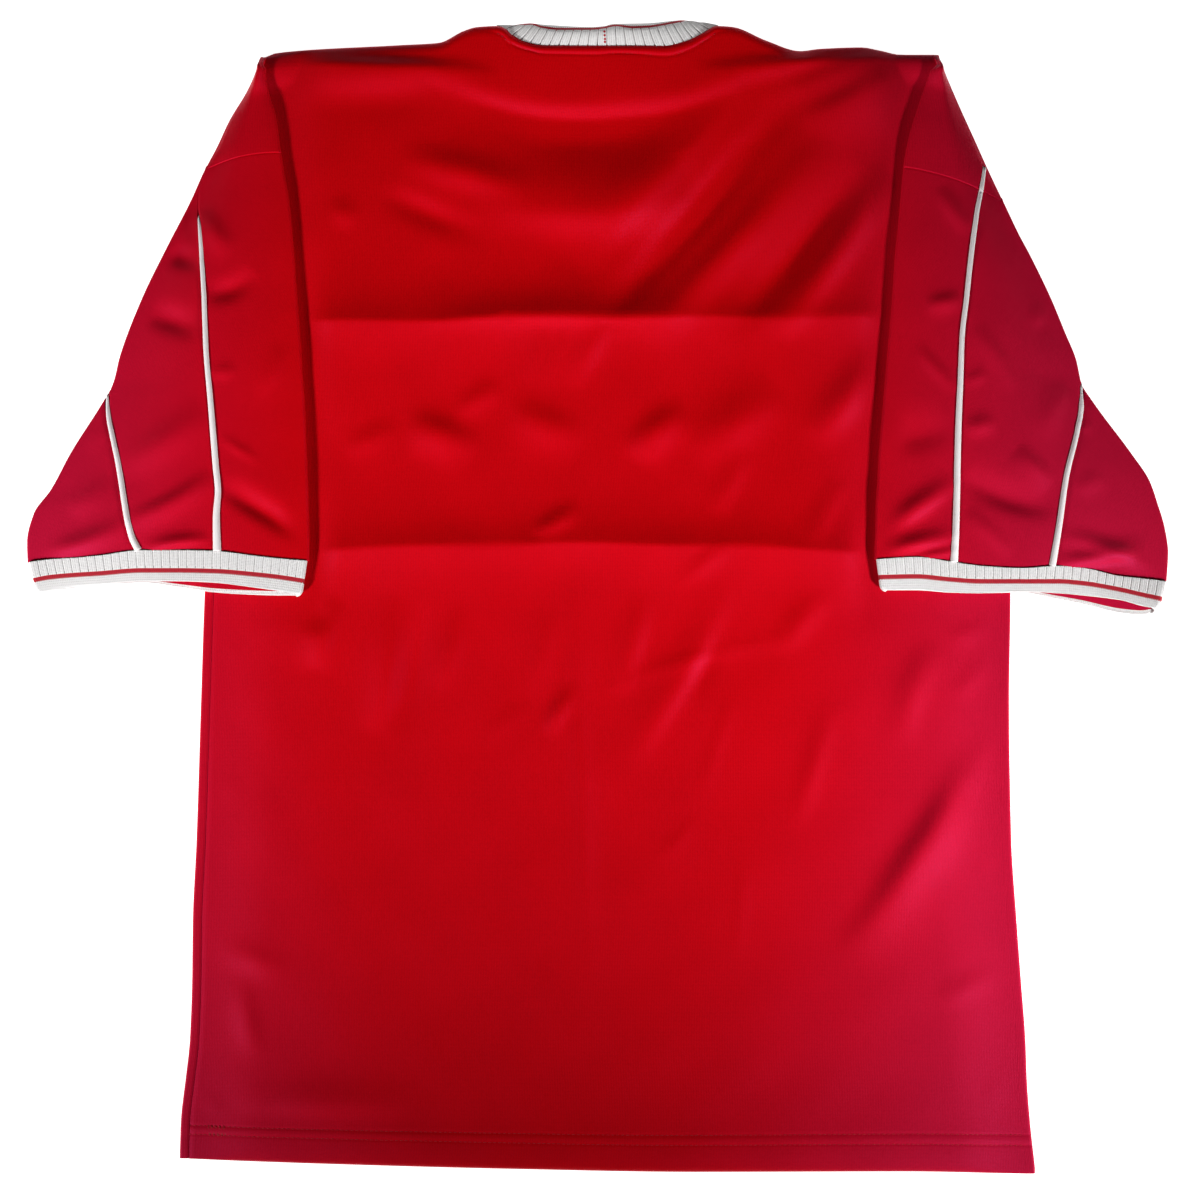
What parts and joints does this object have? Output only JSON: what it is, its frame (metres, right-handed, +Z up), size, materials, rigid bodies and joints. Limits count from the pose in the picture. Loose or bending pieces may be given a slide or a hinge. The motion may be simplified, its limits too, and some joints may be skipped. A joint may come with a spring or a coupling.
{
  "type": "football jersey",
  "caption": "Short-sleeved football jersey lying flat with its back up, with ribbed collar and cuffs and piped sleeves.",
  "frame": {"origin": "on the floor, at the middle of the garment's outline", "axes": "+Z up out of the back panel, +Y towards the neck, +X towards the sleeve on the right as the back is looked at"},
  "size_m": [0.7673, 0.776, 0.0171],
  "materials": {
    "red_knit": "fine polyester jersey knit with a soft sheen",
    "white_rib": "matte ribbed knit with a thin red stripe",
    "white_piping": "matte corded piping"
  },
  "bodies": {
    "root": {"front_panel": "red_knit", "back_panel": "red_knit", "sleeve_left_back": "red_knit", "sleeve_left_band": "red_knit", "sleeve_left_front": "red_knit", "sleeve_right_back": "red_knit", "sleeve_right_band": "red_knit", "sleeve_right_front": "red_knit", "piping_left_inner": "white_piping", "piping_left_outer": "white_piping", "piping_right_inner": "white_piping", "piping_right_outer": "white_piping", "cuff_left": "white_rib", "cuff_right": "white_rib", "collar": "white_rib"}
  },
  "joints": []
}
